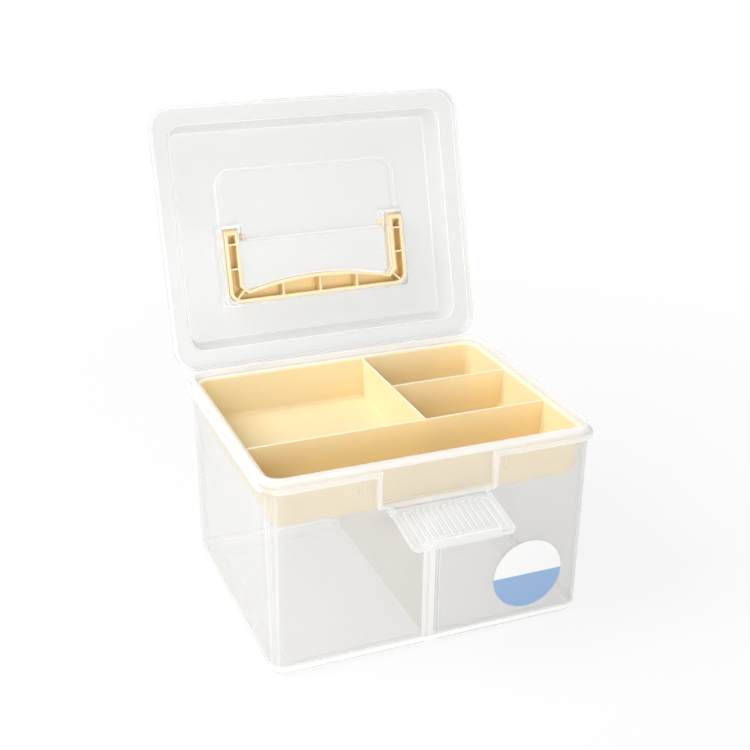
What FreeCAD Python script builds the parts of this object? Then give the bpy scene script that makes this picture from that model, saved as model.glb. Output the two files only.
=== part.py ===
"""Plastic storage box with a lift-out tray, a folding carry handle and a front latch.

Millimetres, +Z up, front towards -Y, origin in the middle of the resting face.
Every sub-part is drawn where it sits in the closed box; lid, handle and latch are then
turned about their pivots to the open position by their Placement.
"""
import FreeCAD, Part
import math
import os
import re
import Sketcher
from FreeCAD import Vector

doc = FreeCAD.newDocument("StorageBox")
sheet = doc.addObject("Spreadsheet::Sheet", "Sizes")

SIZES = [
    # box body
    ("box_width", 255.0, "outer width at the lip"),
    ("box_depth", 204.0, "outer depth at the lip"),
    ("box_height", 160.7, "resting face to the top of the lip"),
    ("box_draft", 2.0, "how much each wall leans out from floor to lip"),
    ("box_corner", 15.0, "corner radius of the lip seen from above"),
    ("wall_thick", 2.0, "side wall"),
    ("floor_thick", 2.2, "floor"),
    ("base_round", 6.5, "rounding between walls and floor"),
    ("inner_bevel", 3.0, "bevel between walls and floor inside"),
    ("foot_drop", 0.6, "how far the resting panel stands below the floor"),
    ("foot_inset", 17.0, "resting panel in from the outer walls"),
    ("foot_corner", 6.0, "corner radius of the resting panel"),
    ("lip_rise", 6.5, "lip above the rim bead"),
    ("bead_thick", 4.0, "height of the rim bead"),
    ("bead_out", 3.7, "how far the bead stands out"),
    ("bead_bevel", 1.0, "bevel along the bead"),
    ("dip_half", 45.0, "middle of the upright bead beside the front dip"),
    ("dip_drop", 29.5, "how far the bead dips at the front"),
    ("dip_corner", 4.0, "outer corner radius of the dip"),
    # tray
    ("tray_sink", 4.9, "tray rim below the lip of the box"),
    ("tray_deep", 36.6, "height of the tray"),
    ("rim_side", 4.1, "width of the tray rim, left and right"),
    ("rim_front", 4.3, "width of the tray rim, front and back"),
    ("tray_draft", 3.3, "how much each tray wall leans out"),
    ("tray_corner", 10.0, "corner radius of the tray opening"),
    ("tray_wall", 1.8, "tray walls and floor"),
    ("tray_flange", 2.0, "thickness of the tray rim"),
    ("tray_gap", 0.8, "play between tray rim and box lip"),
    ("tray_bevel", 2.4, "bevel along the tray floor inside"),
    ("split_drop", 1.6, "tray dividers below the tray rim"),
    ("split_thick", 1.6, "thickness of the tray dividers"),
    ("bay_front", 60.4, "front wall to the middle of the long tray divider"),
    ("bay_right", 100.1, "right wall to the middle of the front-to-back divider"),
    ("bay_back", 61.9, "back wall to the middle of the short tray divider"),
    ("rest_x", 56.0, "position of the four ribs that carry the tray"),
    ("rest_width", 3.4, "width of these ribs"),
    ("rest_tall", 19.6, "height of these ribs"),
    ("rest_toe", 3.0, "slope at their lower end"),
    ("rest_gap", 0.5, "play between these ribs and the tray wall"),
    # divider panel and its rails
    ("panel_x", -1.5, "position of the divider panel"),
    ("panel_thick", 2.4, "thickness of the divider panel"),
    ("panel_clear", 12.2, "top edge of the divider panel below the tray"),
    ("panel_gap", 0.3, "play of the divider panel in its rails"),
    ("rail_width", 5.0, "width of one rail"),
    ("rail_deep", 4.0, "how far the rails stand into the box"),
    ("rail_clear", 8.2, "top end of the rails below the tray"),
    # lid
    ("lid_angle", 105.6, "opening angle of the lid in degrees"),
    ("lid_wall", 1.9, "lid skin"),
    ("lid_gap", 0.3, "play of the closed lid on bead and lip"),
    ("lid_over_side", 2.0, "lid beyond the bead, left and right"),
    ("lid_over_front", 0.6, "lid beyond the bead, front and back"),
    ("lid_rise", 30.0, "lower edge of the skirt to the top of the lid"),
    ("lid_shelf", 14.0, "width of the shelf round the raised panel"),
    ("lid_lean", 5.5, "how much the raised panel leans in"),
    ("lid_corner", 13.0, "corner radius of the raised panel at its foot"),
    ("lid_round", 3.2, "rounding along the top of the raised panel"),
    ("skirt_bevel", 1.0, "bevel along the top of the skirt"),
    ("tab_half", 42.0, "half width of the tab on the front skirt"),
    ("tab_drop", 7.0, "how far the tab hangs below the skirt"),
    ("recess_half", 77.5, "half width of the shallow recess"),
    ("recess_front", -51.7, "front edge of the shallow recess"),
    ("recess_deep", 2.6, "depth of the shallow recess"),
    ("recess_corner", 12.0, "corner radius of the shallow recess"),
    ("recess_angle", 50.0, "slope of its sides in degrees"),
    ("well_low", 15.4, "underside of the finger well above the skirt edge"),
    ("well_step", 6.9, "front wall of the finger well"),
    ("slot_gap", 0.8, "play between the handle and its slot"),
    # hinge of the lid
    ("hinge_out", 3.9, "lid hinge axis behind the bead"),
    ("hinge_drop", 0.9, "lid hinge axis below the top of the bead"),
    ("hinge_x", 70.0, "middle of each hinge"),
    ("lug_width", 11.0, "lid lug between its two ears"),
    ("lug_radius", 3.0, "round end of the lug"),
    ("ear_width", 4.0, "thickness of a hinge ear"),
    ("ear_radius", 3.2, "round end of a hinge ear"),
    ("web_drop", 10.0, "web of a hinge ear below the bead"),
    ("arm_step", 0.4, "lower edge of the lug's arm above the skirt edge"),
    ("heel_high", 0.6, "upper edge of the stop under the axis"),
    ("heel_low", 3.4, "lower edge of the stop under the axis"),
    ("heel_gap", 0.1, "play between the stop and the bead"),
    ("side_gap", 0.4, "side play in the hinges"),
    ("hinge_pin", 1.7, "radius of the lid hinge pins"),
    ("pin_gap", 0.15, "play round the hinge pins"),
    # carry handle
    ("handle_out", 79.0, "half width over the legs"),
    ("handle_in", 67.3, "half width between the legs"),
    ("handle_back", 56.4, "outer edge of the grip"),
    ("handle_corner", 10.0, "outer corner radius of the grip"),
    ("arch_end", 46.8, "inner edge of the grip next to the legs"),
    ("arch_mid", 39.1, "inner edge of the grip in the middle"),
    ("arch_half", 62.0, "half width of the arch"),
    ("arch_foot", 42.0, "where the legs turn into the arch"),
    ("handle_sink", 1.2, "handle below the top of the lid"),
    ("handle_proud", 2.0, "folded handle below the finger well"),
    ("handle_wall", 2.7, "walls of the handle channel"),
    ("handle_skin", 2.4, "top skin of the handle"),
    ("handle_rib", 1.5, "thickness of the handle ribs"),
    ("rib_set", 0.4, "ribs in from the open side"),
    ("rib_near", 7.9, "rib across each leg next to the pivot"),
    ("rib_far", 28.2, "rib across each leg next to the grip"),
    ("rib_side", 33.0, "ribs across the grip beside its middle"),
    ("pivot_y", 2.6, "handle pivot"),
    ("pivot_pin", 2.8, "radius of the handle pins"),
    ("pivot_end", 60.5, "inner end of the handle pins"),
    ("socket_high", 2.0, "hollow of a leg above the pivot"),
    ("cheek_in", 62.3, "inner face of the bearing cheeks"),
    # front latch
    ("latch_angle", 101.5, "opening angle of the latch in degrees"),
    ("latch_half", 39.0, "half width of the latch"),
    ("latch_out", 3.5, "latch hinge axis in front of the bead"),
    ("latch_drop", 1.3, "latch hinge axis below the dip"),
    ("latch_face", 0.6, "inner face of the latch behind its axis"),
    ("latch_thick", 1.6, "plate of the latch"),
    ("latch_heel", 1.6, "latch below its axis when closed"),
    ("latch_rim", 1.2, "raised border of the latch"),
    ("latch_border", 4.0, "width of this border"),
    ("latch_corner", 5.0, "corner radius of the latch"),
    ("latch_barrel", 2.4, "radius of the latch barrel"),
    ("latch_pin", 1.3, "radius of the latch pins"),
    ("latch_ear", 3.2, "thickness of a latch ear"),
    ("hook_half", 26.0, "half width of the hook bar"),
    ("hook_deep", 6.5, "how far the hook reaches over the lid"),
    ("hook_thick", 2.4, "thickness of the hook"),
    ("hook_gap", 0.3, "play between hook and lid"),
    ("grip_pitch", 5.0, "spacing of the latch ribs"),
    ("grip_width", 1.8, "width of the latch ribs"),
    ("grip_high", 1.0, "height of the latch ribs"),
    ("grip_set", 0.4, "ends of these ribs in barrel and border"),
    # label
    ("label_side", 49.9, "label centre to the right wall"),
    ("label_z", 44.5, "label centre above the resting face"),
    ("label_radius", 28.5, "radius of the label"),
    ("label_thick", 0.25, "thickness of the label"),
]

NAMES = set()
for row, (name, number, note) in enumerate(SIZES, start=1):
    sheet.set("A%d" % row, note)
    sheet.set("B%d" % row, str(number))
    sheet.setAlias("B%d" % row, name)
    NAMES.add(name)
doc.recompute()


def formula(text):
    """Put the name of the sheet in front of every size named in text."""
    def put(match):
        word = match.group(0)
        return "Sizes." + word if word in NAMES else word
    return re.sub(r"[a-z_]+", put, text)


def number(text):
    """The present value of a formula."""
    answer = sheet.evalExpression(formula(text))
    return float(getattr(answer, "Value", answer))


def tie(thing, prop, text):
    """Bind a property to a formula."""
    thing.setExpression(prop, formula(text))


# named levels made of the sizes above
BASE_WIDTH = "(box_width - 2 * box_draft)"
BASE_DEPTH = "(box_depth - 2 * box_draft)"
BOX_RISE = "(box_height - foot_drop)"
BOX_LEAN = "atan(box_draft / (box_height - foot_drop))"
FLOOR_TOP = "(foot_drop + floor_thick)"
ROUND_TOP = "(foot_drop + base_round + floor_thick)"
ROUND_MID = "(base_round - (base_round - wall_thick / 2) * sqrt(0.5))"
BEAD_TOP = "(box_height - lip_rise)"
BEAD_LOW = "(box_height - lip_rise - bead_thick)"
DIP_LOW = "(box_height - lip_rise - dip_drop)"
TRAY_TOP = "(box_height - tray_sink)"
TRAY_LOW = "(box_height - tray_sink - tray_deep)"
TRAY_HALF_WIDTH = "(box_width / 2 - wall_thick - tray_gap - rim_side)"
TRAY_HALF_DEPTH = "(box_depth / 2 - wall_thick - tray_gap - rim_front)"
FLANGE_LOW = "(%s - tray_flange)" % TRAY_TOP
REST_LOW = "(%s - rest_tall)" % FLANGE_LOW
CROSS_Y = "(bay_front - %s)" % TRAY_HALF_DEPTH
LONG_X = "(%s - bay_right)" % TRAY_HALF_WIDTH
SHORT_Y = "(%s - bay_back)" % TRAY_HALF_DEPTH
PANEL_TOP = "(%s - panel_clear)" % TRAY_LOW
RAIL_TOP = "(%s - rail_clear)" % TRAY_LOW
HINGE_Y = "(box_depth / 2 + bead_out + hinge_out)"
HINGE_Z = "(box_height - lip_rise - hinge_drop)"
LATCH_Y = "(-(box_depth / 2 + bead_out + latch_out))"
LATCH_Z = "(%s - latch_drop)" % DIP_LOW
SKIRT_LOW = "(box_height - lip_rise + lid_gap)"
SHELF_LOW = "(box_height + lid_gap)"
SHELF_TOP = "(box_height + lid_gap + lid_wall)"
LID_TOP = "(box_height - lip_rise + lid_gap + lid_rise)"
LID_WIDTH = "(box_width + 2 * bead_out + 2 * lid_over_side)"
LID_DEPTH = "(box_depth + 2 * bead_out + 2 * lid_over_front)"
LID_LEAN = "atan(lid_lean / (%s - %s))" % (LID_TOP, SHELF_TOP)
RECESS_LOW = "(%s - recess_deep - lid_wall)" % LID_TOP
WELL_LOW = "(%s + well_low)" % SKIRT_LOW
HANDLE_TOP = "(%s - handle_sink)" % LID_TOP
HANDLE_LOW = "(%s - handle_proud)" % WELL_LOW
PIVOT_Z = "((%s + %s) / 2)" % (HANDLE_LOW, HANDLE_TOP)
LEG_ROUND = "((%s - %s) / 2)" % (HANDLE_TOP, HANDLE_LOW)
SLOT_OUT = "(handle_out + slot_gap)"
SLOT_IN = "(handle_in - slot_gap)"
SLOT_BACK = "(handle_back + slot_gap)"
SLOT_FRONT = "(pivot_y - %s - slot_gap)" % LEG_ROUND
LATCH_LOW = "(%s - latch_heel)" % LATCH_Z
LATCH_TOP = "(%s + hook_gap + hook_thick)" % SHELF_TOP
LATCH_IN = "(%s + latch_face)" % LATCH_Y
LATCH_BARREL_HALF = "(latch_half - latch_ear - side_gap)"


def wall_at(height, inset):
    """Distance of a point in the side wall from the middle plane: front and back walls."""
    return "(box_depth / 2 - box_draft * (box_height - %s) / %s - (%s))" % (height, BOX_RISE, inset)


def new_body(label):
    body = doc.addObject("PartDesign::Body", label.title().replace("_", ""))
    body.Label = label
    return body


def plane_of(body, role):
    for item in body.Origin.OriginFeatures:
        if item.Role == role:
            return item
    raise ValueError(role)


def new_sketch(body, role, level):
    """An empty sketch on an origin plane, moved along the plane's normal by level."""
    sketch = body.newObject("Sketcher::SketchObject", "Sketch")
    sketch.AttachmentSupport = [(plane_of(body, role), "")]
    sketch.MapMode = "FlatFace"
    tie(sketch, "AttachmentOffset.Base.z", level)
    return sketch


def draw(sketch, points, bends=None):
    """Closed outline through points (pairs of formulas).

    bends maps the number of a segment to the radius formula of an arc that replaces the
    line; the arc's centre lies to the left of the way from point to point, or to the right
    where the formula starts with a minus sign.
    """
    bends = bends or {}
    first = sketch.GeometryCount
    places = [Vector(number(px), number(py), 0) for px, py in points]
    count = len(places)
    ends = []
    for index in range(count):
        start = places[index]
        stop = places[(index + 1) % count]
        if index not in bends:
            sketch.addGeometry(Part.LineSegment(start, stop), False)
            ends.append((1, 2))
            continue
        signed = number(bends[index])
        radius = abs(signed)
        chord = stop - start
        left = Vector(-chord.y, chord.x, 0).normalize()
        away = math.sqrt(max(radius ** 2 - (chord.Length / 2) ** 2, 0.0))
        centre = (start + stop) * 0.5 + left * math.copysign(away, signed)
        circle = Part.Circle(centre, Vector(0, 0, 1), radius)
        a_start = math.atan2(start.y - centre.y, start.x - centre.x)
        a_stop = math.atan2(stop.y - centre.y, stop.x - centre.x)
        if signed > 0:
            sketch.addGeometry(Part.ArcOfCircle(circle, a_start, a_stop), False)
            ends.append((1, 2))
        else:
            sketch.addGeometry(Part.ArcOfCircle(circle, a_stop, a_start), False)
            ends.append((2, 1))

    def bind(constraint, text):
        at = sketch.addConstraint(constraint)
        word = "size%d" % at
        sketch.renameConstraint(at, word)
        tie(sketch, "Constraints." + word, text)

    for index in range(count):
        here = first + index
        after = first + (index + 1) % count
        sketch.addConstraint(Sketcher.Constraint(
            "Coincident", here, ends[index][1], after, ends[(index + 1) % count][0]))
    for index, (px, py) in enumerate(points):
        here = first + index
        spot = ends[index][0]
        for kind, text, axis in (("DistanceX", px, -2), ("DistanceY", py, -1)):
            now = number(text)
            if abs(now) < 1e-9:
                sketch.addConstraint(Sketcher.Constraint("PointOnObject", here, spot, axis))
            elif now > 0:
                bind(Sketcher.Constraint(kind, -1, 1, here, spot, now), text)
            else:
                bind(Sketcher.Constraint(kind, here, spot, -1, 1, -now), "-(%s)" % text)
    for index, text in bends.items():
        plain = text.lstrip("-")
        bind(Sketcher.Constraint("Radius", first + index, number(plain)), plain)


def draw_rounded(sketch, x_low, x_high, y_low, y_high, radius):
    """A rectangle with four round corners."""
    r = radius
    points = [
        ("%s + %s" % (x_low, r), y_low), ("%s - %s" % (x_high, r), y_low),
        (x_high, "%s + %s" % (y_low, r)), (x_high, "%s - %s" % (y_high, r)),
        ("%s - %s" % (x_high, r), y_high), ("%s + %s" % (x_low, r), y_high),
        (x_low, "%s - %s" % (y_high, r)), (x_low, "%s + %s" % (y_low, r)),
    ]
    draw(sketch, points, {1: r, 3: r, 5: r, 7: r})


def rounded(body, level, width, depth, radius):
    """A sketch of a rounded rectangle round the middle."""
    sketch = new_sketch(body, "XY_Plane", level)
    draw_rounded(sketch, "-(%s) / 2" % width, "(%s) / 2" % width,
                 "-(%s) / 2" % depth, "(%s) / 2" % depth, radius)
    return sketch


def pad(body, sketch, length, lean=None, both=False, back=False):
    feature = body.newObject("PartDesign::Pad", "Pad")
    feature.Profile = sketch
    tie(feature, "Length", length)
    if lean:
        tie(feature, "TaperAngle", lean)
    feature.Midplane = both
    feature.Reversed = back
    sketch.Visibility = False
    return feature


def pocket(body, sketch, length, lean=None, both=False, up=True):
    """Cut along the sketch's normal when up is set, against it otherwise."""
    feature = body.newObject("PartDesign::Pocket", "Pocket")
    feature.Profile = sketch
    tie(feature, "Length", length)
    if lean:
        tie(feature, "TaperAngle", lean)
    feature.Midplane = both
    feature.Reversed = up
    sketch.Visibility = False
    return feature


def block(body, x_low, x_high, y_low, y_high, z_low, z_high, cut=False):
    """A box between six formulas, added or cut away."""
    kind = "PartDesign::SubtractiveBox" if cut else "PartDesign::AdditiveBox"
    feature = body.newObject(kind, "Block")
    tie(feature, "Length", "(%s) - (%s)" % (x_high, x_low))
    tie(feature, "Width", "(%s) - (%s)" % (y_high, y_low))
    tie(feature, "Height", "(%s) - (%s)" % (z_high, z_low))
    tie(feature, "Placement.Base.x", x_low)
    tie(feature, "Placement.Base.y", y_low)
    tie(feature, "Placement.Base.z", z_low)
    return feature


def rod(body, x_low, x_high, y, z, radius, cut=False):
    """A round bar along X, added or cut away."""
    kind = "PartDesign::SubtractiveCylinder" if cut else "PartDesign::AdditiveCylinder"
    feature = body.newObject(kind, "Rod")
    tie(feature, "Radius", radius)
    tie(feature, "Height", "(%s) - (%s)" % (x_high, x_low))
    feature.Placement.Rotation = FreeCAD.Rotation(Vector(0, 1, 0), 90)
    tie(feature, "Placement.Base.x", x_low)
    tie(feature, "Placement.Base.y", y)
    tie(feature, "Placement.Base.z", z)
    return feature


def slice_x(body, middle, width, points, bends=None, cut=False):
    """A flat piece drawn in the side view, width thick round x = middle."""
    sketch = new_sketch(body, "YZ_Plane", middle)
    draw(sketch, points, bends)
    return pocket(body, sketch, width, both=True) if cut else pad(body, sketch, width, both=True)


def picked(body, wanted):
    """The names of the edges of the body that the test picks."""
    doc.recompute()
    return ["Edge%d" % (place + 1) for place, edge in enumerate(body.Tip.Shape.Edges) if wanted(edge)]


def round_edges(body, radius, wanted):
    """Round the edges of the body that the test picks."""
    names = picked(body, wanted)
    base = body.Tip
    feature = body.newObject("PartDesign::Fillet", "Round")
    feature.Base = (base, names)
    tie(feature, "Radius", radius)
    return feature


def bevel_edges(body, width, wanted):
    """Bevel the edges of the body that the test picks: a small edge needs no finer round."""
    names = picked(body, wanted)
    base = body.Tip
    feature = body.newObject("PartDesign::Chamfer", "Bevel")
    feature.Base = (base, names)
    tie(feature, "Size", width)
    return feature


def at_level(text):
    """Picks edges that lie flat at one height."""
    level = number(text)
    return lambda edge: (abs(edge.BoundBox.ZMin - level) < 1e-4 and abs(edge.BoundBox.ZMax - level) < 1e-4)


def turn_about(body, y, z, angle):
    """Place a body turned about an axis along X through (y, z)."""
    body.Placement = FreeCAD.Placement(Vector(0, 0, 0), FreeCAD.Rotation(Vector(1, 0, 0), number(angle)))
    tie(body, "Placement.Rotation.Angle", angle)
    tie(body, "Placement.Base.y", "%s - %s * cos(%s) + %s * sin(%s)" % (y, y, angle, z, angle))
    tie(body, "Placement.Base.z", "%s - %s * sin(%s) - %s * cos(%s)" % (z, y, angle, z, angle))


def make_box():
    body = new_body("box_body")

    # rim bead, opened at the front, and the bead that runs down round the dip
    ring = new_sketch(body, "XY_Plane", BEAD_LOW)
    for extra in ("2 * bead_out", "-wall_thick"):
        draw_rounded(ring, "-(box_width + %s) / 2" % extra, "(box_width + %s) / 2" % extra,
                     "-(box_depth + %s) / 2" % extra, "(box_depth + %s) / 2" % extra,
                     "(box_corner + (%s) / 2)" % extra)
    pad(body, ring, "bead_thick")
    half = "bead_thick / 2"
    block(body, "-(dip_half - %s)" % half, "dip_half - %s" % half, "-(box_depth / 2 + bead_out + 1)",
          "-(box_depth / 2 - wall_thick / 4)", BEAD_LOW + " - 1", BEAD_TOP + " + 1", cut=True)
    frame = new_sketch(body, "XZ_Plane", "box_depth / 2 - box_draft - wall_thick / 4")
    out = "(dip_half + %s)" % half
    inner = "(dip_half - %s)" % half
    c = "dip_corner"
    draw(frame, [("-%s" % out, BEAD_TOP), ("-%s" % out, DIP_LOW + " + " + c),
                 ("-%s + %s" % (out, c), DIP_LOW), ("%s - %s" % (out, c), DIP_LOW),
                 (out, DIP_LOW + " + " + c), (out, BEAD_TOP), (inner, BEAD_TOP),
                 (inner, DIP_LOW + " + bead_thick"), ("-%s" % inner, DIP_LOW + " + bead_thick"),
                 ("-%s" % inner, BEAD_TOP)],
         {1: c, 3: c})
    pad(body, frame, "bead_out + box_draft + wall_thick / 4")
    side = number("box_width / 2 + bead_out")
    front = number("box_depth / 2 + bead_out")
    corner = number("box_corner + bead_out")

    def on_outside(edge):
        """Edges that run along the outer skin of the bead."""
        for spot in edge.discretize(5):
            dx = abs(spot.x) - (side - corner)
            dy = abs(spot.y) - (front - corner)
            if dx > 0 and dy > 0:
                reach = math.hypot(dx, dy) - corner
            else:
                reach = max(dx, dy) - corner
            if reach < -1e-3:
                return False
        box = edge.BoundBox
        upright = box.ZLength > 1e-3 and box.XLength < 1e-6 and box.YLength < 1e-6
        smooth = upright and abs(abs(edge.CenterOfMass.x) - (side - corner)) < 1e-3
        flank = upright and abs(abs(edge.CenterOfMass.y) - (front - corner)) < 1e-3
        return not (smooth or flank)
    bevel_edges(body, "bead_bevel", on_outside)

    # walls and floor as one block, rounded below, then hollowed
    outer = rounded(body, "foot_drop", BASE_WIDTH, BASE_DEPTH, "(box_corner - box_draft)")
    pad(body, outer, BOX_RISE, lean=BOX_LEAN)
    round_edges(body, "base_round", at_level("foot_drop"))
    grow = "2 * box_draft * floor_thick / " + BOX_RISE
    cavity = rounded(body, FLOOR_TOP, "%s + %s - 2 * wall_thick" % (BASE_WIDTH, grow),
                     "%s + %s - 2 * wall_thick" % (BASE_DEPTH, grow),
                     "(box_corner - box_draft - wall_thick)")
    pocket(body, cavity, "box_height - %s + 1" % FLOOR_TOP, lean=BOX_LEAN)
    bevel_edges(body, "inner_bevel", at_level(FLOOR_TOP))
    foot = rounded(body, "0", "%s - 2 * foot_inset" % BASE_WIDTH, "%s - 2 * foot_inset" % BASE_DEPTH,
                   "foot_corner")
    pad(body, foot, "foot_drop")

    for way in ("-", ""):
        # two ribs on this wall carry the tray
        reach = "(%s + tray_wall + rest_gap)" % TRAY_HALF_DEPTH
        rib = [("%s%s" % (way, wall_at(REST_LOW, "wall_thick / 2")), REST_LOW),
               ("%s%s" % (way, reach), REST_LOW + " + rest_toe"), ("%s%s" % (way, reach), FLANGE_LOW),
               ("%s%s" % (way, wall_at(FLANGE_LOW, "wall_thick / 2")), FLANGE_LOW)]
        for x in ("-rest_x", "rest_x"):
            slice_x(body, x, "rest_width", rib)
        # two rails on this wall hold the divider panel
        rail = [("%s%s" % (way, wall_at(ROUND_TOP, "wall_thick / 2")), ROUND_TOP),
                ("%s%s" % (way, wall_at("foot_drop", ROUND_MID)), "foot_drop + " + ROUND_MID),
                ("%s%s" % (way, wall_at("foot_drop", "wall_thick + rail_deep")),
                 "foot_drop + floor_thick / 2"),
                ("%s%s" % (way, wall_at(RAIL_TOP, "wall_thick + rail_deep")), RAIL_TOP),
                ("%s%s" % (way, wall_at(RAIL_TOP, "wall_thick / 2")), RAIL_TOP)]
        shift = "(panel_thick / 2 + panel_gap + rail_width / 2)"
        for x in ("panel_x - " + shift, "panel_x + " + shift):
            slice_x(body, x, "rail_width", rail)

    # ears of the lid hinges at the back
    root = "box_depth / 2 - wall_thick / 2"
    web = [(root, BEAD_LOW + " - web_drop"), (HINGE_Y, HINGE_Z + " - ear_radius"), (HINGE_Y, HINGE_Z),
           (HINGE_Y + " - ear_radius", BEAD_TOP), (root, BEAD_TOP)]
    shift = "(lug_width / 2 + side_gap + ear_width / 2)"
    for x in ("-hinge_x - " + shift, "-hinge_x + " + shift, "hinge_x - " + shift, "hinge_x + " + shift):
        slice_x(body, x, "ear_width", web)
        rod(body, "%s - ear_width / 2" % x, "%s + ear_width / 2" % x, HINGE_Y, HINGE_Z, "ear_radius")
        rod(body, "%s - ear_width" % x, "%s + ear_width" % x, HINGE_Y, HINGE_Z, "hinge_pin + pin_gap",
            cut=True)

    # ears of the latch hinge under the dip
    for x in ("-(latch_half - latch_ear / 2)", "latch_half - latch_ear / 2"):
        block(body, "%s - latch_ear / 2" % x, "%s + latch_ear / 2" % x, LATCH_Y, "-(%s)" % root,
              LATCH_Z + " - latch_barrel", LATCH_Z + " + latch_barrel")
        rod(body, "%s - latch_ear / 2" % x, "%s + latch_ear / 2" % x, LATCH_Y, LATCH_Z, "latch_barrel")
        rod(body, "%s - latch_ear" % x, "%s + latch_ear" % x, LATCH_Y, LATCH_Z,
            "latch_pin + pin_gap", cut=True)
    return body


def make_tray():
    body = new_body("tray")
    rise = "tray_deep"
    lean = "atan(tray_draft / %s)" % rise
    outer_w = "2 * (%s + tray_wall)" % TRAY_HALF_WIDTH
    outer_d = "2 * (%s + tray_wall)" % TRAY_HALF_DEPTH
    shell = rounded(body, TRAY_LOW, "%s - 2 * tray_draft" % outer_w, "%s - 2 * tray_draft" % outer_d,
                    "(tray_corner + tray_wall - tray_draft)")
    pad(body, shell, rise, lean=lean)
    bevel_edges(body, "tray_bevel - tray_wall / 2", at_level(TRAY_LOW))
    lip = "2 * (wall_thick + tray_gap)"
    rim = rounded(body, FLANGE_LOW, "box_width - " + lip, "box_depth - " + lip,
                  "(box_corner - wall_thick - tray_gap)")
    pad(body, rim, "tray_flange")
    grow = "2 * tray_draft * tray_wall / " + rise
    hollow = rounded(body, TRAY_LOW + " + tray_wall",
                     "2 * (%s - tray_draft) + %s" % (TRAY_HALF_WIDTH, grow),
                     "2 * (%s - tray_draft) + %s" % (TRAY_HALF_DEPTH, grow), "(tray_corner - tray_draft)")
    pocket(body, hollow, rise + " + 1", lean=lean)
    bevel_edges(body, "tray_bevel", at_level(TRAY_LOW + " + tray_wall"))

    # dividers follow the leaning walls
    top = "(%s - split_drop)" % TRAY_TOP
    low = "(%s + tray_wall / 2)" % TRAY_LOW

    def side(half, height):
        return "(%s + tray_wall / 2 - tray_draft * (%s - %s) / %s)" % (half, TRAY_TOP, height, rise)
    wide = TRAY_HALF_WIDTH
    deep = TRAY_HALF_DEPTH
    cross = new_sketch(body, "XZ_Plane", "-" + CROSS_Y)
    draw(cross, [("-" + side(wide, low), low), (side(wide, low), low), (side(wide, top), top),
                 ("-" + side(wide, top), top)])
    pad(body, cross, "split_thick", both=True)
    slice_x(body, LONG_X, "split_thick",
            [(CROSS_Y, low), (side(deep, low), low), (side(deep, top), top), (CROSS_Y, top)])
    short = new_sketch(body, "XZ_Plane", "-" + SHORT_Y)
    draw(short, [(LONG_X, low), (side(wide, low), low), (side(wide, top), top), (LONG_X, top)])
    pad(body, short, "split_thick", both=True)
    return body


def make_divider():
    body = new_body("divider_panel")

    def edge(height):
        return wall_at(height, "wall_thick + 2 * panel_gap")
    low = FLOOR_TOP
    above = "(%s + inner_bevel)" % FLOOR_TOP
    slice_x(body, "panel_x", "panel_thick",
            [("-(%s - inner_bevel)" % edge(low), low), ("%s - inner_bevel" % edge(low), low),
             (edge(above), above), (edge(PANEL_TOP), PANEL_TOP),
             ("-" + edge(PANEL_TOP), PANEL_TOP), ("-" + edge(above), above)])
    return body


def handle_outline(sketch, inset):
    """The U of the handle seen from above; inset shrinks it all round."""
    out = "(handle_out - %s)" % inset
    back = "(handle_back - %s)" % inset
    legs = "(handle_in + %s)" % inset
    foot = "(arch_foot + %s / 2)" % inset
    end = "(arch_end + %s)" % inset
    arch = "(arch_half + %s / 2)" % inset
    mid = "(arch_mid + %s)" % inset
    r = "(handle_corner - %s)" % inset
    sag = "(%s - %s)" % (end, mid)
    bow = "((%s ^ 2 + %s ^ 2) / (2 * %s))" % (arch, sag, sag)
    draw(sketch, [("-" + out, "pivot_y"), ("-" + legs, "pivot_y"), ("-" + legs, foot), ("-" + arch, end),
                  (arch, end), (legs, foot), (legs, "pivot_y"), (out, "pivot_y"),
                  (out, "%s - %s" % (back, r)),
                  ("%s - %s" % (out, r), back), ("-%s + %s" % (out, r), back),
                  ("-" + out, "%s - %s" % (back, r))],
         {3: bow, 8: r, 10: r})


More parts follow.
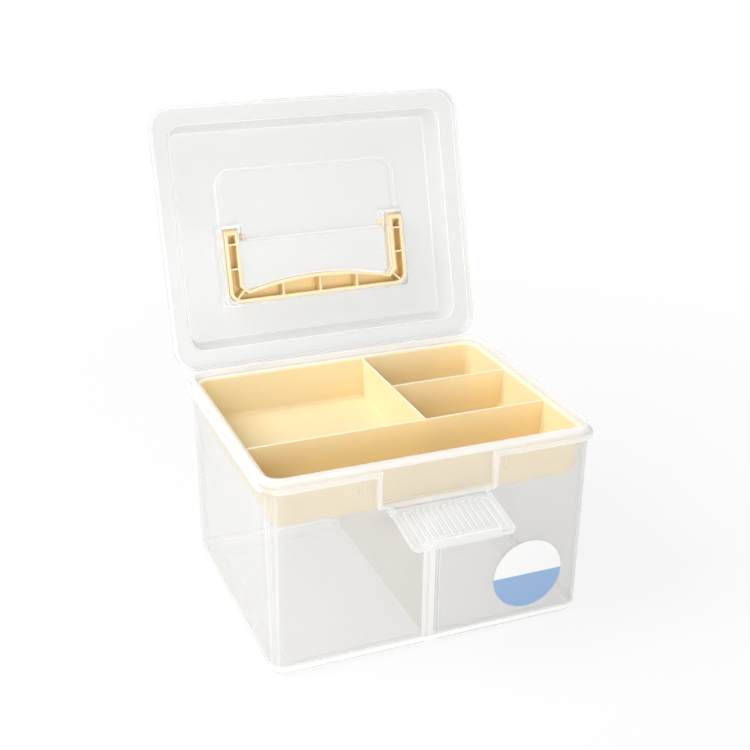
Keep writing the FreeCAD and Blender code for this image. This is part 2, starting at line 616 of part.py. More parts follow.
def make_handle():
    body = new_body("carry_handle")
    outline = new_sketch(body, "XY_Plane", HANDLE_LOW)
    handle_outline(outline, "0")
    pad(body, outline, "%s - %s" % (HANDLE_TOP, HANDLE_LOW))
    for way in ("-", ""):
        a = "%s(handle_%s)" % (way, "out" if way else "in")
        b = "%s(handle_%s)" % (way, "in" if way else "out")
        rod(body, a, b, "pivot_y", PIVOT_Z, LEG_ROUND)
    channel = new_sketch(body, "XY_Plane", HANDLE_LOW)
    handle_outline(channel, "handle_wall")
    pocket(body, channel, "%s - %s - handle_skin" % (HANDLE_TOP, HANDLE_LOW))
    for way in ("-", ""):
        a = "%s(handle_%s)" % (way, "out - handle_wall" if way else "in + handle_wall")
        b = "%s(handle_%s)" % (way, "in + handle_wall" if way else "out - handle_wall")
        block(body, a, b, "pivot_y - %s + 2 * handle_wall" % LEG_ROUND, "pivot_y + handle_rib",
              HANDLE_LOW + " - handle_rib", PIVOT_Z + " + socket_high", cut=True)
        # pins that turn in the cheeks of the lid
        a = "%s%s" % (way, "(handle_in + handle_wall / 2)" if way else "pivot_end")
        b = "%s%s" % (way, "pivot_end" if way else "(handle_in + handle_wall / 2)")
        rod(body, a, b, "pivot_y", PIVOT_Z, "pivot_pin")

    # ribs across the channel
    top = HANDLE_TOP + " - handle_skin / 2"
    low = HANDLE_LOW + " + rib_set"
    t = "handle_rib / 2"
    for y in ("rib_near", "rib_far"):
        for way in ("-", ""):
            a = "%s(handle_%s)" % (way, "out - handle_wall / 2" if way else "in + handle_wall / 2")
            b = "%s(handle_%s)" % (way, "in + handle_wall / 2" if way else "out - handle_wall / 2")
            block(body, a, b, "%s - %s" % (y, t), "%s + %s" % (y, t), low, top)
    slope = "((arch_end - arch_mid) * (rib_side / arch_half) ^ 2)"
    near_mid = "(arch_mid + handle_wall / 2)"
    near_side = "(%s + %s)" % (near_mid, slope)
    for x, near in (("-rib_side", near_side), ("0", near_mid), ("rib_side", near_side)):
        block(body, "%s - %s" % (x, t), "%s + %s" % (x, t), near, "handle_back - handle_wall / 2", low, top)
    # slanted ribs in the two corners of the grip
    start = "(arch_half + handle_in) / 2"
    foot = "(arch_end + arch_foot) / 2"
    across = "(handle_back - handle_corner / 3 - %s) * sqrt(2)" % foot
    for way, angle in (("", 45), ("-", 135)):
        rib = block(body, "0", across, "0", "handle_rib", low, top)
        rib.Placement.Rotation = FreeCAD.Rotation(Vector(0, 0, 1), angle)
        tie(rib, "Placement.Base.x", "%s%s + %s * sqrt(0.5)" % (way, start, t))
        tie(rib, "Placement.Base.y", "%s %s %s * sqrt(0.5)" % (foot, "+" if way else "-", t))
    return body


def make_lid():
    body = new_body("lid")
    skirt = rounded(body, SKIRT_LOW, LID_WIDTH, LID_DEPTH, "(box_corner + bead_out)")
    pad(body, skirt, "%s - %s" % (SHELF_TOP, SKIRT_LOW))
    bevel_edges(body, "skirt_bevel", at_level(SHELF_TOP))
    raised = rounded(body, SHELF_TOP + " - lid_wall / 4", LID_WIDTH + " - 2 * lid_shelf",
                     LID_DEPTH + " - 2 * lid_shelf", "lid_corner")
    pad(body, raised, "%s - %s + lid_wall / 4" % (LID_TOP, SHELF_TOP), lean="-" + LID_LEAN)
    round_edges(body, "lid_round", at_level(LID_TOP))
    below = rounded(body, SKIRT_LOW + " - 1", LID_WIDTH + " - 2 * lid_wall", LID_DEPTH + " - 2 * lid_wall",
                    "(box_corner + bead_out - lid_wall)")
    pocket(body, below, "%s - %s + 1" % (SHELF_LOW, SKIRT_LOW))
    inside = rounded(body, SHELF_LOW + " - lid_wall / 4", LID_WIDTH + " - 2 * lid_shelf - 1.5 * lid_wall",
                     LID_DEPTH + " - 2 * lid_shelf - 1.5 * lid_wall", "(lid_corner - 0.75 * lid_wall)")
    pocket(body, inside, "%s - lid_wall - %s + lid_wall / 4" % (LID_TOP, SHELF_LOW), lean="-" + LID_LEAN)

    # material for the shallow recess and for the handle well, hung under the panel
    under = new_sketch(body, "XY_Plane", RECESS_LOW)
    draw_rounded(under, "-(recess_half + lid_wall)", "(recess_half + lid_wall)",
                 "(recess_front - lid_wall)", "(well_step + 2 * recess_corner)", "(recess_corner + lid_wall)")
    pad(body, under, "%s - lid_wall / 2 - %s" % (LID_TOP, RECESS_LOW))
    well = new_sketch(body, "XY_Plane", WELL_LOW)
    draw_rounded(well, "-(%s + lid_wall)" % SLOT_OUT, "(%s + lid_wall)" % SLOT_OUT,
                 "(%s - lid_wall)" % SLOT_FRONT, "(%s + lid_wall)" % SLOT_BACK, "(handle_corner / 2)")
    pad(body, well, "%s - lid_wall / 2 - %s" % (LID_TOP, WELL_LOW))

    # shallow recess with sloping sides
    shallow = new_sketch(body, "XY_Plane", LID_TOP)
    draw_rounded(shallow, "-recess_half", "recess_half", "recess_front", "(well_step + 2 * recess_corner)",
                 "recess_corner")
    pocket(body, shallow, "recess_deep", lean="-recess_angle", up=False)
    # finger well, open to the handle slot on three sides
    finger = new_sketch(body, "XY_Plane", WELL_LOW + " + lid_wall")
    draw_rounded(finger, "-" + SLOT_OUT, SLOT_OUT, "well_step", SLOT_BACK, "handle_corner")
    pocket(body, finger, "lid_rise")
    # slots that the handle drops into
    for way in ("-", ""):
        a = way + (SLOT_OUT if way else SLOT_IN)
        b = way + (SLOT_IN if way else SLOT_OUT)
        block(body, a, b, SLOT_FRONT, "arch_end", WELL_LOW + " - 1", LID_TOP + " + 1", cut=True)
    grip = new_sketch(body, "XY_Plane", WELL_LOW + " - 1")
    end = "(arch_end - slot_gap)"
    mid = "(arch_mid - slot_gap)"
    sag = "(%s - %s)" % (end, mid)
    bow = "((arch_half ^ 2 + %s ^ 2) / (2 * %s))" % (sag, sag)
    r = "(handle_corner)"
    foot = "(arch_foot - slot_gap)"
    draw(grip, [("-%s" % SLOT_OUT, foot), ("-%s" % SLOT_IN, foot), ("-arch_half", end), ("arch_half", end),
                (SLOT_IN, foot), (SLOT_OUT, foot), (SLOT_OUT, "%s - %s" % (SLOT_BACK, r)),
                ("%s - %s" % (SLOT_OUT, r), SLOT_BACK), ("-%s + %s" % (SLOT_OUT, r), SLOT_BACK),
                ("-" + SLOT_OUT, "%s - %s" % (SLOT_BACK, r))],
         {2: bow, 6: r, 8: r})
    pocket(body, grip, "lid_rise")
    # space between the bearing cheeks, and the bearings
    block(body, "-cheek_in", "cheek_in", SLOT_FRONT + " - lid_wall - 1", "well_step - lid_wall",
          WELL_LOW + " - 1", RECESS_LOW, cut=True)
    for way in ("-", ""):
        a = way + ("(handle_in + lid_wall)" if way else "(cheek_in - lid_wall)")
        b = way + ("(cheek_in - lid_wall)" if way else "(handle_in + lid_wall)")
        rod(body, a, b, "pivot_y", PIVOT_Z, "pivot_pin + pin_gap", cut=True)

    # tab on the front skirt and lugs of the hinges
    block(body, "-tab_half", "tab_half", "-%s / 2" % LID_DEPTH, "-%s / 2 + lid_wall" % LID_DEPTH,
          SKIRT_LOW + " - tab_drop", SHELF_LOW)
    back = "(%s / 2 - lid_wall / 2)" % LID_DEPTH
    arm = [(back, SKIRT_LOW + " + arm_step"), (HINGE_Y, HINGE_Z + " - lug_radius + heel_high"),
           (HINGE_Y, HINGE_Z + " + lug_radius"),
           (back, SHELF_TOP + " - skirt_bevel")]
    reach = "(hinge_out - heel_gap)"
    turn = "lid_angle"

    def heel(y, z):
        """A point beside the axis when the lid is open, drawn where it is when the lid is shut."""
        return ("%s + (%s) * cos(%s) - (%s) * sin(%s)" % (HINGE_Y, y, turn, z, turn),
                "%s + (%s) * sin(%s) + (%s) * cos(%s)" % (HINGE_Z, y, turn, z, turn))
    toe = [heel("0", "-heel_high"), heel("-" + reach, "-heel_high"), heel("-" + reach, "-heel_low"),
           heel("0", "-lug_radius + heel_gap")]
    for x in ("-hinge_x", "hinge_x"):
        slice_x(body, x, "lug_width", arm)
        rod(body, x + " - lug_width / 2", x + " + lug_width / 2", HINGE_Y, HINGE_Z, "lug_radius")
        slice_x(body, x, "lug_width", toe)
        span = "(lug_width / 2 + side_gap + ear_width)"
        rod(body, "%s - %s" % (x, span), "%s + %s" % (x, span), HINGE_Y, HINGE_Z, "hinge_pin")
    return body


def make_latch():
    body = new_body("front_latch")
    plate = new_sketch(body, "XZ_Plane", "-(%s)" % LATCH_IN)
    draw_rounded(plate, "-latch_half", "latch_half", LATCH_LOW, LATCH_TOP, "latch_corner")
    pad(body, plate, "latch_thick")
    # raised border on the inner face
    border = new_sketch(body, "XZ_Plane", "-(%s)" % LATCH_IN)
    draw_rounded(border, "-latch_half", "latch_half", LATCH_LOW, LATCH_TOP, "latch_corner")
    b = "latch_border"
    draw_rounded(border, "-(latch_half - %s)" % b, "(latch_half - %s)" % b,
                 "(%s + 2 * latch_barrel)" % LATCH_LOW, "(%s - %s)" % (LATCH_TOP, b), "(latch_corner / 2)")
    pad(body, border, "latch_rim", back=True)
    # room for the ears at both ends, then the barrel with its pins
    for way in ("-", ""):
        a = way + ("(latch_half + latch_ear)" if way else LATCH_BARREL_HALF)
        c = way + (LATCH_BARREL_HALF if way else "(latch_half + latch_ear)")
        block(body, a, c, LATCH_Y + " - 4 * latch_barrel", LATCH_Y + " + 4 * latch_barrel",
              LATCH_Z + " - 4 * latch_barrel", LATCH_Z + " + latch_barrel + 2 * side_gap", cut=True)
    rod(body, "-" + LATCH_BARREL_HALF, LATCH_BARREL_HALF, LATCH_Y, LATCH_Z, "latch_barrel")
    rod(body, "-latch_half", "latch_half", LATCH_Y, LATCH_Z, "latch_pin")
    # hook bar over the edge of the lid
    block(body, "-hook_half", "hook_half", LATCH_IN + " - latch_thick / 2", LATCH_IN + " + hook_deep",
          LATCH_TOP + " - hook_thick", LATCH_TOP)
    # grip ribs between barrel and border
    for step in range(-6, 7):
        x = "(%d * grip_pitch)" % step
        block(body, "%s - grip_width / 2" % x, "%s + grip_width / 2" % x,
              LATCH_IN + " - latch_thick / 2", LATCH_IN + " + grip_high",
              LATCH_Z + " + latch_barrel - grip_set", LATCH_TOP + " - latch_border + grip_set")
    return body


def make_label():
    disc = doc.addObject("Part::Cylinder", "LabelSticker")
    disc.Label = "label_sticker"
    tie(disc, "Radius", "label_radius")
    tie(disc, "Height", "label_thick")
    tilt = number("90 deg + " + BOX_LEAN)
    disc.Placement = FreeCAD.Placement(Vector(0, 0, 0), FreeCAD.Rotation(Vector(1, 0, 0), tilt))
    tie(disc, "Placement.Rotation.Angle", "90 deg + " + BOX_LEAN)
    tie(disc, "Placement.Base.x", "box_width / 2 - label_side")
    tie(disc, "Placement.Base.y", "-" + wall_at("label_z", "0"))
    tie(disc, "Placement.Base.z", "label_z")
    return disc


box = make_box()
tray = make_tray()
divider = make_divider()
lid = make_lid()
handle = make_handle()
latch = make_latch()
label = make_label()
turn_about(lid, HINGE_Y, HINGE_Z, "-lid_angle")
turn_about(handle, HINGE_Y, HINGE_Z, "-lid_angle")
turn_about(latch, LATCH_Y, LATCH_Z, "latch_angle")
doc.recompute()

for thing in doc.Objects:
    if "Invalid" in thing.State or "Error" in thing.State:
        raise RuntimeError("%s of %s: %s" % (thing.Name, thing.Label, thing.getStatusString()))
os.makedirs("parts", exist_ok=True)
for part in (box, tray, divider, lid, handle, latch, label):
    shape = part.Shape
    if shape.isNull() or not shape.isValid() or len(shape.Solids) != 1:
        raise RuntimeError("%s is not one sound solid" % part.Label)
    shape.exportStep("parts/%s.step" % part.Label)
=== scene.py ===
# %% [markdown]
# # A translucent storage box with a lift-out tray
#
# The solids of this box come from a CAD model: the shell, the tray, the divider panel, the lid, the
# carry handle, the latch and the round label are already in place and at their real size. This
# lesson gives them their looks. Most of the box is natural polypropylene, a milky plastic that lets
# light through, so most of the work is in how much each wall hides of what lies behind it.

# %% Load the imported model
import math

import bpy
import bmesh
from mathutils import Matrix, Vector


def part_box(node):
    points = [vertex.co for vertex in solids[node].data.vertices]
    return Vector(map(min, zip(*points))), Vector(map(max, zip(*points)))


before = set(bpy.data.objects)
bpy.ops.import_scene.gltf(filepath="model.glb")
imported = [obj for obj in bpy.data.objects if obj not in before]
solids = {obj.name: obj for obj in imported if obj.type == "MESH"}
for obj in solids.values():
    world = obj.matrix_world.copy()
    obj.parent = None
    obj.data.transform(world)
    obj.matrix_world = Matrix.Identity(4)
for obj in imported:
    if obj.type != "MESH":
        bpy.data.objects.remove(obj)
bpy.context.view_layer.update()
scene = bpy.context.scene
scene.view_settings.view_transform = "Standard"
print("solids:", ", ".join(sorted(solids)))

# %% [markdown]
# ## Camera
#
# The camera was fitted to straight edges of the box: the lip, the rim bead, the base and the lid.
# It stands in front of the box, to the left and above it. A camera looks along its own -Z axis, so
# its matrix is built from three directions: to the right, up and back towards the viewer.

# %% Place the camera
AZIMUTH = math.radians(-22.15)
ELEVATION = math.radians(22.77)
ROLL = math.radians(0.44)
TARGET = Vector((-0.00709, 0.0, 0.18058))
DISTANCE = 0.97927
SENSOR_MM = 36.0
LENS_MM = 61.88

back = Vector((math.sin(AZIMUTH) * math.cos(ELEVATION),
               -math.cos(AZIMUTH) * math.cos(ELEVATION),
               math.sin(ELEVATION)))
level_right = Vector((math.cos(AZIMUTH), math.sin(AZIMUTH), 0.0))
level_up = back.cross(level_right)
right = level_right * math.cos(ROLL) + level_up * math.sin(ROLL)
up = level_up * math.cos(ROLL) - level_right * math.sin(ROLL)

lens = bpy.data.cameras.new("camera")
lens.sensor_width = SENSOR_MM
lens.lens = LENS_MM
camera = bpy.data.objects.new("camera", lens)
scene.collection.objects.link(camera)
stance = Matrix((right, up, back)).transposed().to_4x4()
camera.matrix_world = Matrix.Translation(TARGET + back * DISTANCE) @ stance
scene.camera = camera
print("camera at", [round(value, 3) for value in camera.location])

# %% [markdown]
# ## A pen for node trees
#
# Shader sums read best as plain arithmetic. The class below wraps one output socket. Adding,
# subtracting or multiplying two of them adds the Math node that does it, and `node` adds any other
# node: first its settings, then the values or links of its sockets.


# %% Wrap a socket
class Pen:
    """One output socket of a node tree, with arithmetic that grows the tree."""

    def __init__(self, tree, socket=None):
        self.tree = tree
        self.socket = socket

    def node(self, kind, sockets=None, output=0, **settings):
        made = self.tree.nodes.new("ShaderNode" + kind)
        for name, value in settings.items():
            setattr(made, name, value)
        for name, value in (sockets or {}).items():
            if isinstance(value, Pen):
                self.tree.links.new(value.socket, made.inputs[name])
            else:
                made.inputs[name].default_value = value
        return Pen(self.tree, made.outputs[output])

    def maths(self, operation, first, second):
        return self.node("Math", {0: first, 1: second}, operation=operation)

    def __add__(self, other):
        return self.maths("ADD", self, other)

    def __sub__(self, other):
        return self.maths("SUBTRACT", self, other)

    def __rsub__(self, other):
        return self.maths("SUBTRACT", other, self)

    def __mul__(self, other):
        return self.maths("MULTIPLY", self, other)

    def __pow__(self, other):
        return self.maths("POWER", self, other)

    __radd__ = __add__
    __rmul__ = __mul__

    def __abs__(self):
        return self.node("Math", {0: self}, operation="ABSOLUTE")

    def blend(self, first, second):
        """A colour between first and second, with this socket as the share of second."""
        return self.node("Mix", {"Factor": self, 6: first, 7: second}, output=2, data_type="RGBA")


# %% Start and close a material
def start_material(name):
    """An empty material and a pen for its tree."""
    material = bpy.data.materials.new(name)
    material.use_nodes = True
    material.node_tree.nodes.clear()
    return material, Pen(material.node_tree)


def close_tree(pen, shader, end="OutputMaterial"):
    """Lead a shader to the surface of a material, or of the world where end says OutputWorld."""
    last = pen.tree.nodes.new("ShaderNode" + end)
    pen.tree.links.new(shader.socket, last.inputs["Surface"])


# %% Read the place of a point
def place(pen):
    """Where a point lies in the piece's own coordinates, in metres."""
    return pen.node("TexCoord", output="Object")


def coordinate(pen, axis):
    """One coordinate of a point: X, Y or Z."""
    return pen.node("SeparateXYZ", {"Vector": place(pen)}, output=axis)


def dot(pen, first, second):
    """How far one vector reaches along another."""
    return pen.node("VectorMath", {0: first, 1: second}, output="Value", operation="DOT_PRODUCT")


def grain(pen, scale, detail=2.0):
    """Noise in the piece's own coordinates; scale counts its waves per metre."""
    return pen.node("TexNoise", {"Vector": place(pen), "Scale": scale, "Detail": detail})


def between(pen, value, low, high, fade):
    """One where value lies between low and high, fading to nothing over fade."""
    rise = pen.node("MapRange", {"Value": value, "From Min": low - fade, "From Max": low})
    fall = pen.node("MapRange", {"Value": value, "From Min": high, "From Max": high + fade,
                                 "To Min": 1.0, "To Max": 0.0})
    return rise * fall


def most(pen, first, *others):
    """The largest of several values."""
    for other in others:
        first = pen.maths("MAXIMUM", first, other)
    return first


# %% [markdown]
# ## Soft edges
#
# No moulded edge is razor sharp. Four modifiers can round the edges of a solid without touching its
# mesh: the first joins the faces of the import, the second merges flat triangles, the third bevels
# what is sharper than 35 degrees, and the last keeps the large faces flat to the eye. That suits the
# tray and the divider, whose walls leave room for it. The shell, the lid and the latch have details
# so small that the new faces would cut each other, so their edges are found in the shader instead.

# %% Round the edges of a solid
JOIN_DISTANCE = 1e-6
FLAT_ANGLE = math.radians(1)
SHARP_ANGLE = math.radians(35)


def dress(name, finish):
    """Give a solid its finish and leave its edges as they are."""
    solids[name].data.materials.clear()
    solids[name].data.materials.append(finish)


def soften(name, width, finish):
    """Give a solid its finish and round its edges to this width."""
    dress(name, finish)
    solid = solids[name]
    join = solid.modifiers.new("join", "WELD")
    join.merge_threshold = JOIN_DISTANCE
    merge = solid.modifiers.new("merge", "DECIMATE")
    merge.decimate_type = "DISSOLVE"
    merge.angle_limit = FLAT_ANGLE
    bevel = solid.modifiers.new("bevel", "BEVEL")
    bevel.width = width
    bevel.segments = 2
    bevel.limit_method = "ANGLE"
    bevel.angle_limit = SHARP_ANGLE
    bevel.use_clamp_overlap = False
    flat = solid.modifiers.new("flat", "WEIGHTED_NORMAL")
    flat.keep_sharp = False
    for polygon in solid.data.polygons:
        polygon.use_smooth = True


# %% [markdown]
# ## Thick places and painted highlights
#
# The shell, the lid, the divider and the latch are natural polypropylene: milky, glossy and a little
# uneven. The shell is thicker in its upright corners, along its base, in the rails of the divider
# and in its bead and lip, and the lid is thicker beside the legs of the folded handle. There the
# plastic is as white as at its edges, partly for the thicker plastic and partly as a painted
# highlight for the light that these corners, lines and borders catch. The places could be painted
# by hand, but they follow straight lines of the model, so the position of a point is enough to find
# them. Each band below is given by its low end, its high end and the width over which it fades, in
# metres.

# %% Find the thick places of the shell, where a highlight is painted too
FAR = 1.0  # farther than any point of the box
CORNER_START_X, CORNER_START_Y = 0.1125, 0.087
CORNER_LINE = (0.0062, 0.0078, 0.0008)
WALL_HEIGHT = (0.0, 0.149, 0.002)
BASE_LINE = (0.0045, 0.008, 0.0008)
RAIL_ACROSS = (-0.0062, 0.0032, 0.0003)
RAIL_DEPTH = (0.0925, 0.0998, 0.0002)
RAIL_HEIGHT = (0.0, 0.112, 0.001)
WALL_FACE_X, WALL_FACE_Y = 0.1275, 0.102
BEAD_STEP = (0.0005, FAR, 0.0003)
LIP_HEIGHT = (0.1546, FAR, 0.0003)
CORNER_SHARE = 0.22
BEAD_SHARE = 0.55


def thick_and_highlit_places(pen):
    """One along the base and in the rails, and a share of it in the corners, bead and lip; thicker
    plastic, partly a painted highlight.
    """
    across, height = coordinate(pen, "X"), coordinate(pen, "Z")
    side, end = abs(across), abs(coordinate(pen, "Y"))
    corner = pen.maths("MINIMUM", side - CORNER_START_X, end - CORNER_START_Y)
    upright = between(pen, corner, *CORNER_LINE) * between(pen, height, *WALL_HEIGHT)
    base = between(pen, height, *BASE_LINE)
    rail = between(pen, across, *RAIL_ACROSS) * between(pen, end, *RAIL_DEPTH)
    rail = rail * between(pen, height, *RAIL_HEIGHT)
    proud = between(pen, most(pen, side - WALL_FACE_X, end - WALL_FACE_Y), *BEAD_STEP)
    lip = between(pen, height, *LIP_HEIGHT)
    return most(pen, upright * CORNER_SHARE, most(pen, proud, lip) * BEAD_SHARE, base, rail)


# %% Find the border of the handle's slot, where a glint is painted
LID_DOWN = (0.0, -0.26892, -0.96316)  # down the open lid
HANDLE_MIDDLE = 0.261
HANDLE_HALF_WIDTH, HANDLE_HALF_HEIGHT = 0.079, 0.0307
BORDER_START = (0.002, FAR, 0.001)
BORDER_END = (-FAR, 0.0022, 0.004)
BESIDE_LEGS = (0.064, FAR, 0.001)
BORDER_SHARE = 0.7


def slot_border_glint(pen):
    """A white band round the folded handle, measured in the plane of the open lid: a painted glint
    where the lid's edges round the slot catch the light.
    """
    side = abs(coordinate(pen, "X"))
    middle = abs(dot(pen, place(pen), LID_DOWN) + HANDLE_MIDDLE)
    outside = most(pen, side - HANDLE_HALF_WIDTH, middle - HANDLE_HALF_HEIGHT)
    near = between(pen, outside, *BORDER_START) * between(pen, outside, *BORDER_END)
    return near * between(pen, side, *BESIDE_LEGS) * BORDER_SHARE


# %% [markdown]
# ## Pale edges and painted highlights
#
# An edge of milky plastic looks white, partly because it is seen through more of the plastic and
# partly because its rounding catches the light, which is painted here as a white highlight. A Bevel
# node finds it: its normal is the one that a rounded edge would have, so it leaves the normal of the
# face near an edge and nowhere else.

# %% Find the edges of a face
EDGE_SAMPLES = 12
FLAT_COSINE = 0.99
ABOVE_BASE = (0.004, FAR, 0.0005)


def pale_highlit_edges(pen, radius, turn):
    """One where the rounded normal has turned to this cosine, nothing at radius from the edge; the
    white there is partly a painted highlight.

    The lowest 4 mm, where the base curves under and lies in its own shade, have no whitened edge.
    """
    rounded = pen.node("Bevel", {"Radius": radius}, samples=EDGE_SAMPLES)
    same = dot(pen, rounded, pen.node("NewGeometry", output="True Normal"))
    pale_and_highlit = pen.node("MapRange", {"Value": same, "From Min": FLAT_COSINE, "From Max": turn})
    return pale_and_highlit * between(pen, coordinate(pen, "Z"), *ABOVE_BASE)


# %% [markdown]
# ## Natural polypropylene
#
# Glass would be the wrong start for this plastic, because real polypropylene scatters light on its
# way through. Each surface therefore hides a share of what is behind it, more where it is seen at a
# slant, and shows pale plastic for that share. Wherever several walls lie behind one another they
# add up, as on the real box. A slow drift in the haze and a faint orange-peel bump keep the walls
# from looking like film. At edges and thick places a painted glow, a faint emission, stands in for
# the light that the walls pipe there, and their white colour is partly a painted highlight. Where no
# edge radius is given, as on the divider panel, the painted glow covers the whole surface.

# %% Mix the milky plastic
PLASTIC_IOR = 1.49
SLANT_CURVE = 2.5  # how late the haze rises towards a slant
HAZE_DRIFT, GLOSS_DRIFT, TONE_DRIFT = 0.06, 0.08, 0.97
EDGE_HAZE = 0.72
# The white of edges and thick places: the plastic's own white, partly a painted highlight.
EDGE_WHITE_AND_HIGHLIGHT = (0.96, 0.96, 0.955, 1.0)
BLACK = (0.0, 0.0, 0.0, 1.0)


def milky_plastic(name, haze, slant, tone, roughness, painted_glow, radius=0.0, turn=0.82, thick_and_highlit=None):
    material, pen = start_material(name)
    facing = pen.node("LayerWeight", {"Blend": 0.5}, output="Facing")
    drift = grain(pen, 14.0, 3.0)
    alpha = haze + (facing ** SLANT_CURVE) * (slant - haze) + (drift - 0.5) * HAZE_DRIFT
    colour = drift.blend(tone + (1.0,), tuple(TONE_DRIFT * part for part in tone) + (1.0,))
    # Painted glow: an emission at the edges and thick places, and over the whole surface where no
    # radius is given.
    painted_glow_colour = (painted_glow, painted_glow, painted_glow, 1.0)
    if radius:
        # The white mask: edges and thick places, partly thicker plastic and partly a painted
        # highlight.
        white = pale_highlit_edges(pen, radius, turn)
        if thick_and_highlit:
            white = most(pen, white, thick_and_highlit(pen))
        alpha = alpha + white * (EDGE_HAZE - haze)
        colour = white.blend(colour, EDGE_WHITE_AND_HIGHLIGHT)
        painted_glow_colour = white.blend(BLACK, painted_glow_colour)
    peel = grain(pen, 420.0)
    shade = pen.node("BsdfPrincipled", {
        "Base Color": colour,
        "Roughness": roughness + (drift - 0.5) * GLOSS_DRIFT,
        "IOR": PLASTIC_IOR,
        "Emission Color": painted_glow_colour,
        "Emission Strength": 1.0,
        "Alpha": pen.node("Clamp", {"Value": alpha, "Min": 0.02, "Max": 1.0}),
        "Normal": pen.node("Bump", {"Strength": 0.02, "Distance": 0.0003, "Height": peel}),
    })
    close_tree(pen, shade)
    return material


# %% Dress the four milky solids
# The glow of each finish is a painted glow, an emission that stands in for light piped to its edges.
shell_plastic = milky_plastic("shell_plastic", haze=0.25, slant=0.5, tone=(0.83, 0.83, 0.82),
                              roughness=0.24, painted_glow=0.12, radius=0.0012, thick_and_highlit=thick_and_highlit_places)
lid_plastic = milky_plastic("lid_plastic", haze=0.26, slant=0.55, tone=(0.72, 0.73, 0.72),
                            roughness=0.22, painted_glow=0.06, radius=0.002, turn=0.93, thick_and_highlit=slot_border_glint)
latch_plastic = milky_plastic("latch_plastic", haze=0.4, slant=0.7, tone=(0.88, 0.88, 0.88),
                              roughness=0.24, painted_glow=0.06, radius=0.0005)
# The divider's warm tone is partly its own cream tint and partly painted warm light, as if come
# through the tray; with no edge radius its glow is painted over the whole panel.
panel_plastic = milky_plastic("panel_plastic", haze=0.4, slant=0.6, tone=(0.97, 0.9, 0.8),
                              roughness=0.3, painted_glow=0.06)
dress("box_body", shell_plastic)
dress("lid", lid_plastic)
dress("front_latch", latch_plastic)
soften("divider_panel", 0.0009, panel_plastic)
print("milky plastic on four solids")

# %% [markdown]
# ## Cream plastic
#
# Tray and handle are the same plastic with a cream colour in it. They hide what is behind them, but
# light still wanders a little way into them, which makes their shadows warm instead of grey. A touch
# of subsurface scattering does that, and a fine satin bump breaks the highlights. The rim of the
# tray, the tops of its walls and the ribs of the handle are paler, partly because they are thin and
# partly as painted light: these tops face the lamps, and their lit look is painted into the colour.
# One direction tells them apart: up for the tray, and out of the open lid for the handle.

# %% Mix the cream plastic
RIM_DEPTH = 0.1
RIM_FADE = 0.0004
SATIN_DRIFT = 0.1


def cream_plastic(name, colour, deep, pale_and_highlit, outwards, level, roughness):
    """Cream that drifts from colour to deep, and is paler from this level outwards, partly as a
    painted highlight.
    """
    material, pen = start_material(name)
    # Painted light: from this level outwards the cream is paler, partly for the thin plastic and
    # partly as a painted highlight on tops that face the lamps.
    thin_and_lit_rim = between(pen, dot(pen, place(pen), outwards), level, level + RIM_DEPTH, RIM_FADE)
    drift = grain(pen, 22.0, 3.0)
    satin = grain(pen, 900.0)
    shade = pen.node("BsdfPrincipled", {
        "Base Color": thin_and_lit_rim.blend(drift.blend(colour + (1.0,), deep + (1.0,)), pale_and_highlit + (1.0,)),
        "Roughness": roughness + (drift - 0.5) * SATIN_DRIFT,
        "IOR": PLASTIC_IOR,
        "Subsurface Weight": 0.4,
        "Subsurface Radius": (1.0, 0.8, 0.5),
        "Subsurface Scale": 0.006,
        "Normal": pen.node("Bump", {"Strength": 0.05, "Distance": 0.0003, "Height": satin}),
    })
    close_tree(pen, shade)
    return material


# %% Dress the two cream solids
UP = (0.0, 0.0, 1.0)
LID_OUT = (0.0, -0.96316, 0.26892)  # out of the open lid, towards the viewer
TRAY_RIM_LEVEL = 0.1538
HANDLE_RIB_LEVEL = -0.0796

tray_plastic = cream_plastic("tray_plastic", colour=(0.96, 0.78, 0.5), deep=(0.95, 0.76, 0.48),
                             pale_and_highlit=(0.97, 0.88, 0.7), outwards=UP, level=TRAY_RIM_LEVEL,
                             roughness=0.36)
handle_plastic = cream_plastic("handle_plastic", colour=(0.96, 0.76, 0.44), deep=(0.95, 0.74, 0.42),
                               pale_and_highlit=(0.97, 0.82, 0.54), outwards=LID_OUT, level=HANDLE_RIB_LEVEL,
                               roughness=0.38)
soften("tray", 0.0007, tray_plastic)
dress("carry_handle", handle_plastic)
print("cream plastic on two solids")

# %% [markdown]
# ## The round label
#
# The label is a thin disc of film, white above and pale blue below. An image could colour it, but
# one number per point, its height, is enough to choose between the two colours.

# %% Colour the label
LABEL_WHITE = (0.88, 0.88, 0.875, 1.0)
LABEL_BLUE = (0.28, 0.43, 0.66, 1.0)
SPLIT_FADE = 0.0001


def label_film(name, split_height):
    material, pen = start_material(name)
    blue = pen.node("MapRange", {"Value": coordinate(pen, "Z"),
                                 "From Min": split_height - SPLIT_FADE,
                                 "From Max": split_height + SPLIT_FADE,
                                 "To Min": 1.0, "To Max": 0.0})
    fibre = grain(pen, 1500.0)
    shade = pen.node("BsdfPrincipled", {
        "Base Color": blue.blend(LABEL_WHITE, LABEL_BLUE),
        "Roughness": 0.45 + (fibre - 0.5) * 0.1,
        "Normal": pen.node("Bump", {"Strength": 0.04, "Distance": 0.0002, "Height": fibre}),
    })
    close_tree(pen, shade)
    return material


label_low, label_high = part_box("label_sticker")
label_split = (label_low.z + label_high.z) / 2
dress("label_sticker", label_film("label_film", label_split))
print("label split at", round(1000 * label_split, 1), "mm")

# %% [markdown]
# ## Floor, backdrop and light
#
# The box stands in a white studio. The floor is a plain sheet; part of its light to the camera is its
# own, so that it stays white while it still takes a shadow. The world behind it is white to the
# camera and dimmer as a light. One large lamp from the upper left and a weaker one, low in front,
# model the walls.

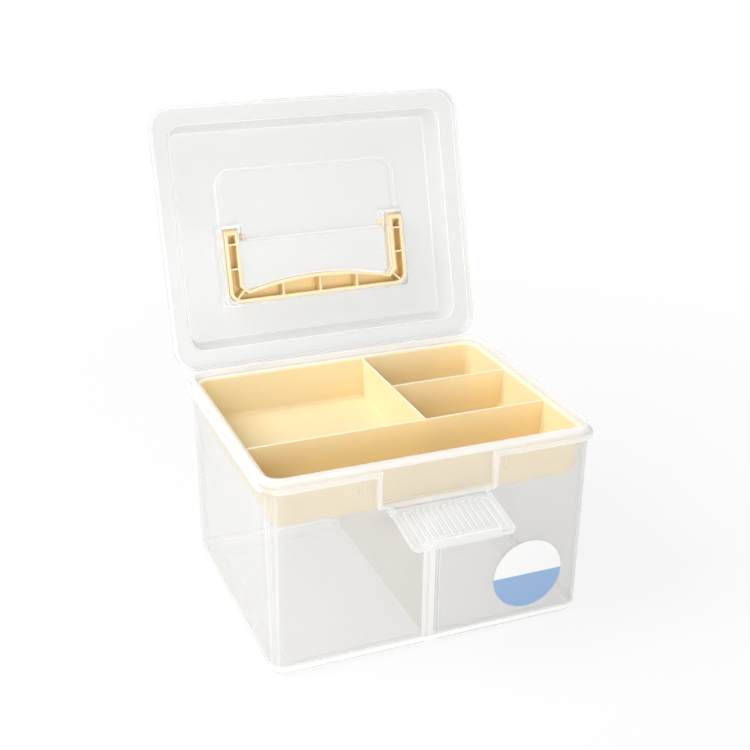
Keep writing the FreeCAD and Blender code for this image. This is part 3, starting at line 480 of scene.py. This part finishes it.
# %% Build the floor
FLOOR_SIZE = 12.0
WHITE = (1.0, 1.0, 1.0, 1.0)
PAPER_WHITE = (0.9, 0.9, 0.9, 1.0)


def seen_rays(pen):
    """One for a ray that shows a surface: from the camera, a reflection or a clear solid."""
    straight = pen.node("LightPath", output="Is Camera Ray")
    mirrored = pen.node("LightPath", output="Is Glossy Ray")
    return straight + mirrored + pen.node("LightPath", output="Is Transmission Ray")


def make_floor(size):
    sheet = bmesh.new()
    bmesh.ops.create_grid(sheet, x_segments=1, y_segments=1, size=size / 2)
    mesh = bpy.data.meshes.new("floor")
    sheet.to_mesh(mesh)
    sheet.free()
    floor = bpy.data.objects.new("floor", mesh)
    scene.collection.objects.link(floor)
    material, pen = start_material("floor_paper")
    matt = pen.node("BsdfDiffuse", {"Color": PAPER_WHITE})
    white = pen.node("Emission", {"Color": WHITE, "Strength": 1.0})
    away = pen.node("VectorMath", {0: place(pen)}, output="Value", operation="LENGTH")
    share = pen.node("MapRange", {"Value": away, "From Min": 0.3, "From Max": 0.9,
                                  "To Min": 0.85, "To Max": 1.0})
    close_tree(pen, pen.node("MixShader", {0: seen_rays(pen) * share, 1: matt, 2: white}))
    mesh.materials.append(material)
    return floor


make_floor(FLOOR_SIZE)
print("floor of", FLOOR_SIZE, "m")


# %% Light the studio
def make_lamp(name, spot, aim, size, power):
    lamp = bpy.data.lights.new(name, "AREA")
    lamp.shape = "RECTANGLE"
    lamp.size, lamp.size_y = size
    lamp.energy = power
    holder = bpy.data.objects.new(name, lamp)
    scene.collection.objects.link(holder)
    holder.location = Vector(spot)
    holder.rotation_euler = (Vector(aim) - Vector(spot)).to_track_quat("-Z", "Y").to_euler()
    return holder


make_lamp("key_lamp", spot=(-1.35, 0.1, 1.6), aim=(0.0, 0.0, 0.12), size=(1.2, 1.2), power=36.0)
make_lamp("fill_lamp", spot=(-0.2, -2.1, 0.5), aim=(0.0, 0.0, 0.15), size=(1.6, 0.8), power=22.0)
print("two lamps")

# %% Fill the world
WORLD_LIGHT = 0.36
LAYERS_OF_PLASTIC = 32  # how many clear surfaces a ray may pass

world = bpy.data.worlds.new("studio")
scene.world = world
world.use_nodes = True
world.node_tree.nodes.clear()
sky = Pen(world.node_tree)
seen = sky.node("Clamp", {"Value": seen_rays(sky)})
light = sky.node("Background", {"Color": WHITE, "Strength": WORLD_LIGHT})
backdrop = sky.node("Background", {"Color": WHITE, "Strength": 1.0})
close_tree(sky, sky.node("MixShader", {0: seen, 1: light, 2: backdrop}), "OutputWorld")
scene.cycles.transparent_max_bounces = LAYERS_OF_PLASTIC
print("studio in place")
